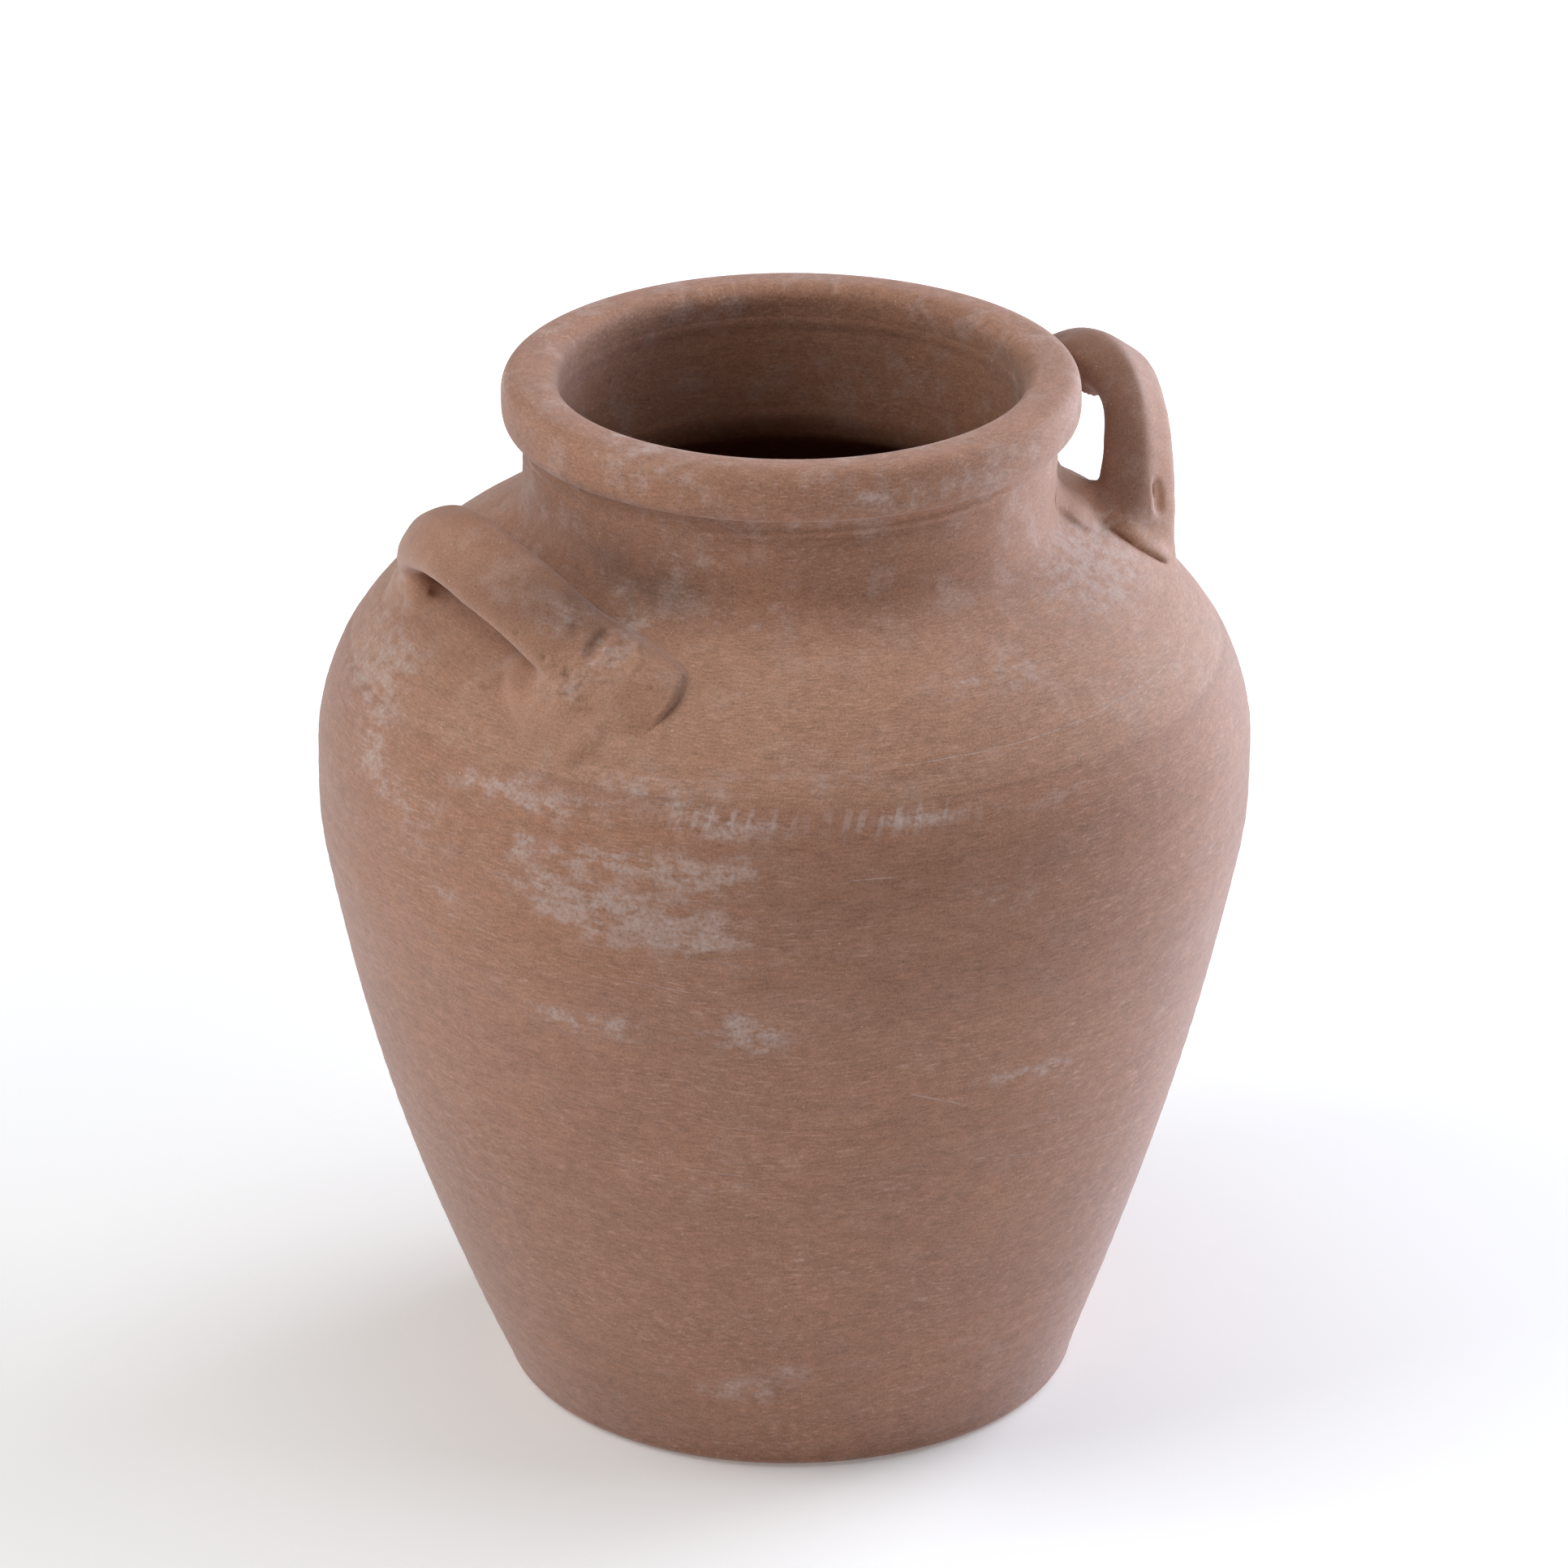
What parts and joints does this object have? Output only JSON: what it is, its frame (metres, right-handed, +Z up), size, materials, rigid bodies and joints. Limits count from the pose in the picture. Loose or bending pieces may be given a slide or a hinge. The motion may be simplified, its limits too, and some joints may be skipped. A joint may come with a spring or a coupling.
{
  "type": "amphora",
  "caption": "Squat round-shouldered terracotta jar with a rolled rim, an open mouth and looped strap handles on the shoulder.",
  "frame": {"origin": "centre of the foot, on the ground", "axes": "+Z up along the jar's turning axis, -X and +X towards the left and right handle, -Y the front"},
  "size_m": [0.3498, 0.3498, 0.401],
  "materials": {
    "body_clay": "matt unglazed terracotta, wheel-marked, pale chalky bloom",
    "shoulder_clay": "matt unglazed terracotta, brushed and hatched by hand",
    "rim_clay": "matt unglazed terracotta, smoothed, paler on top",
    "handle_clay": "matt unglazed terracotta, hand-pulled strap with a soft ridge",
    "lute_clay": "matt unglazed terracotta, wiped on with fingers, pale and rough"
  },
  "bodies": {
    "root": {"base_disc": "body_clay", "lower_wall": "body_clay", "shoulder_wall": "shoulder_clay", "neck_collar": "rim_clay", "rim_roll": "rim_clay", "left_handle": "handle_clay", "right_handle": "handle_clay", "left_handle_front_lute": "lute_clay", "left_handle_rear_lute": "lute_clay", "right_handle_front_lute": "lute_clay", "right_handle_rear_lute": "lute_clay"}
  },
  "joints": []
}
